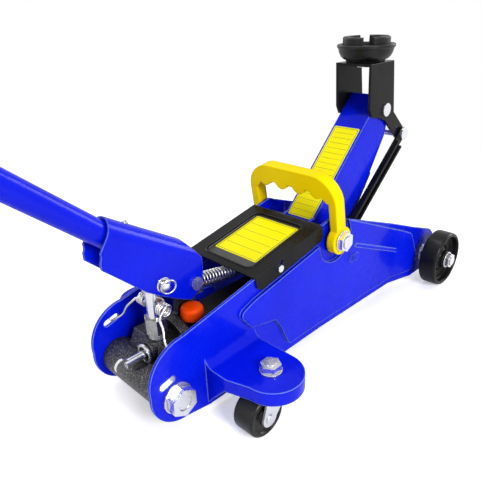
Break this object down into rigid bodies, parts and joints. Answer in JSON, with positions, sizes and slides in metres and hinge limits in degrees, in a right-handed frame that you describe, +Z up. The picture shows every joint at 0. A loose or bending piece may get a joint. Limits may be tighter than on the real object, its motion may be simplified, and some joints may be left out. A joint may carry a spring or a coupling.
{
  "type": "hydraulic floor jack",
  "caption": "Small wheeled hydraulic floor jack with a lift arm, turning saddle, pump handle, swivel rear casters and a carry handle.",
  "frame": {"origin": "middle of the whole jack's box at floor level, with the pump handle at its working angle", "axes": "+X forward from the pump handle to the front wheels, +Y to the left, +Z up"},
  "size_m": [0.8316, 0.252, 0.5228],
  "materials": {
    "blue_paint": "gloss",
    "black_paint": "semi gloss",
    "black_cast": "painted, satin",
    "rough_cast": "rough casting",
    "wheel_black": "gloss",
    "caster_black": "moulded",
    "zinc": "bright zinc plate",
    "bright_steel": "ground",
    "dark_steel": "machined",
    "spring_steel": "drawn wire",
    "orange_rubber": "moulded",
    "yellow_plastic": "moulded",
    "black_rubber": "moulded"
  },
  "bodies": {
    "frame": {"side_plate_left": "blue_paint", "side_plate_right": "blue_paint", "front_tie": "blue_paint", "stub_axles": "zinc", "axle_nuts": "zinc", "arm_shaft": "zinc", "arm_spacers": "black_paint", "shaft_nuts": "zinc", "link_lower_pins": "blue_paint", "pump_block": "rough_cast", "rear_bolts": "zinc", "oil_tank": "black_paint", "tank_nut": "black_paint", "oil_plug": "orange_rubber", "pump_gland": "dark_steel", "valve_ring": "zinc", "cover_plate": "black_paint", "cover_screws": "zinc"},
    "lift_arm": {"lift_arm": "blue_paint", "arm_pivot_tube": "blue_paint", "arm_pin": "zinc"},
    "yoke": {"yoke": "black_paint", "link_top_pin": "zinc"},
    "links": {"link_left": "black_paint", "link_right": "black_paint"},
    "saddle": {"saddle": "black_cast", "saddle_clip": "zinc"},
    "ram": {"ram": "bright_steel", "ram_crosshead": "rough_cast", "ram_pin": "bright_steel", "arm_return_spring": "spring_steel"},
    "plunger": {"pump_plunger": "bright_steel", "plunger_head": "bright_steel", "plunger_spring": "spring_steel"},
    "valve": {"release_valve": "bright_steel"},
    "socket": {"handle_socket": "blue_paint", "socket_sleeve": "blue_paint", "socket_pin": "zinc", "press_pin": "bright_steel", "press_pin_clips": "zinc"},
    "handle": {"handle_lower": "blue_paint", "handle_upper": "blue_paint", "handle_grip": "black_rubber", "button_spring": "spring_steel"},
    "button": {"snap_button": "bright_steel"},
    "carry_handle": {"carry_handle": "yellow_plastic"},
    "wheel_left": {"front_wheel_left": "wheel_black"},
    "wheel_right": {"front_wheel_right": "wheel_black"},
    "caster_left": {"caster_fork_left": "zinc", "caster_stem_left": "zinc", "caster_rivets_left": "zinc"},
    "caster_right": {"caster_fork_right": "zinc", "caster_stem_right": "zinc", "caster_rivets_right": "zinc"},
    "caster_wheel_left": {"caster_wheel_left": "caster_black"},
    "caster_wheel_right": {"caster_wheel_right": "caster_black"}
  },
  "joints": [
    {"name": "arm_lift", "type": "hinge", "parent": "frame", "child": "lift_arm", "pos_m": [0.19347, 0, 0.1179], "axis": [0, 1, 0], "range_deg": [-12, 60]},
    {"name": "yoke_level", "type": "hinge", "parent": "lift_arm", "child": "yoke", "pos_m": [0.32463, 0, 0.23071], "axis": [0, 1, 0], "range_deg": [-60, 12]},
    {"name": "link_swing", "type": "hinge", "parent": "frame", "child": "links", "pos_m": [0.23357, 0, 0.0822], "axis": [0, 1, 0], "range_deg": [-12, 60]},
    {"name": "saddle_turn", "type": "hinge", "parent": "yoke", "child": "saddle", "pos_m": [0.31193, 0, 0.28471], "axis": [0, 0, 1], "continuous": true},
    {"name": "ram_slide", "type": "slide", "parent": "frame", "child": "ram", "axis": [1, 0, 0], "range_m": [-0.0725, 0.0146], "deforming": ["arm_return_spring"]},
    {"name": "pump_handle", "type": "hinge", "parent": "frame", "child": "socket", "pos_m": [0.02817, 0, 0.12], "axis": [0, 1, 0], "range_deg": [-20, 18]},
    {"name": "plunger_slide", "type": "slide", "parent": "frame", "child": "plunger", "axis": [0, 0, 1], "range_m": [-0.0128, 0.0116], "deforming": ["plunger_spring"]},
    {"name": "handle_pull", "type": "slide", "parent": "socket", "child": "handle", "axis": [-0.7436, 0, 0.6686], "range_m": [0, 0.08]},
    {"name": "snap_button_press", "type": "slide", "parent": "handle", "child": "button", "axis": [0.6686, 0, 0.7436], "range_m": [0, 0.0032], "stiffness_N_per_m": 400, "springref_m": -0.001},
    {"name": "release_valve_turn", "type": "hinge", "parent": "frame", "child": "valve", "pos_m": [-0.03983, -0.003, 0.0665], "axis": [1, 0, 0], "range_deg": [0, 360]},
    {"name": "carry_handle_swing", "type": "hinge", "parent": "frame", "child": "carry_handle", "pos_m": [0.19347, 0, 0.1179], "axis": [0, 1, 0], "range_deg": [-47, 30]},
    {"name": "front_wheel_left_spin", "type": "hinge", "parent": "frame", "child": "wheel_left", "pos_m": [0.38017, 0.088, 0.0356], "axis": [0, 1, 0], "continuous": true},
    {"name": "caster_left_swivel", "type": "hinge", "parent": "frame", "child": "caster_left", "pos_m": [0.04017, 0.095, 0.05], "axis": [0, 0, 1], "continuous": true},
    {"name": "caster_left_roll", "type": "hinge", "parent": "caster_left", "child": "caster_wheel_left", "pos_m": [0.02217, 0.095, 0.021], "axis": [0, 1, 0], "continuous": true},
    {"name": "front_wheel_right_spin", "type": "hinge", "parent": "frame", "child": "wheel_right", "pos_m": [0.38017, -0.088, 0.0356], "axis": [0, 1, 0], "continuous": true},
    {"name": "caster_right_swivel", "type": "hinge", "parent": "frame", "child": "caster_right", "pos_m": [0.04017, -0.095, 0.05], "axis": [0, 0, 1], "continuous": true},
    {"name": "caster_right_roll", "type": "hinge", "parent": "caster_right", "child": "caster_wheel_right", "pos_m": [0.02217, -0.095, 0.021], "axis": [0, 1, 0], "continuous": true}
  ],
  "couplings": [
    {"joint": "yoke_level", "follows": "arm_lift", "ratio": -1},
    {"joint": "link_swing", "follows": "arm_lift", "ratio": 1},
    {"joint": "ram_slide", "follows": "arm_lift", "m_per_rad": -0.069},
    {"joint": "plunger_slide", "follows": "pump_handle", "m_per_rad": 0.036}
  ]
}
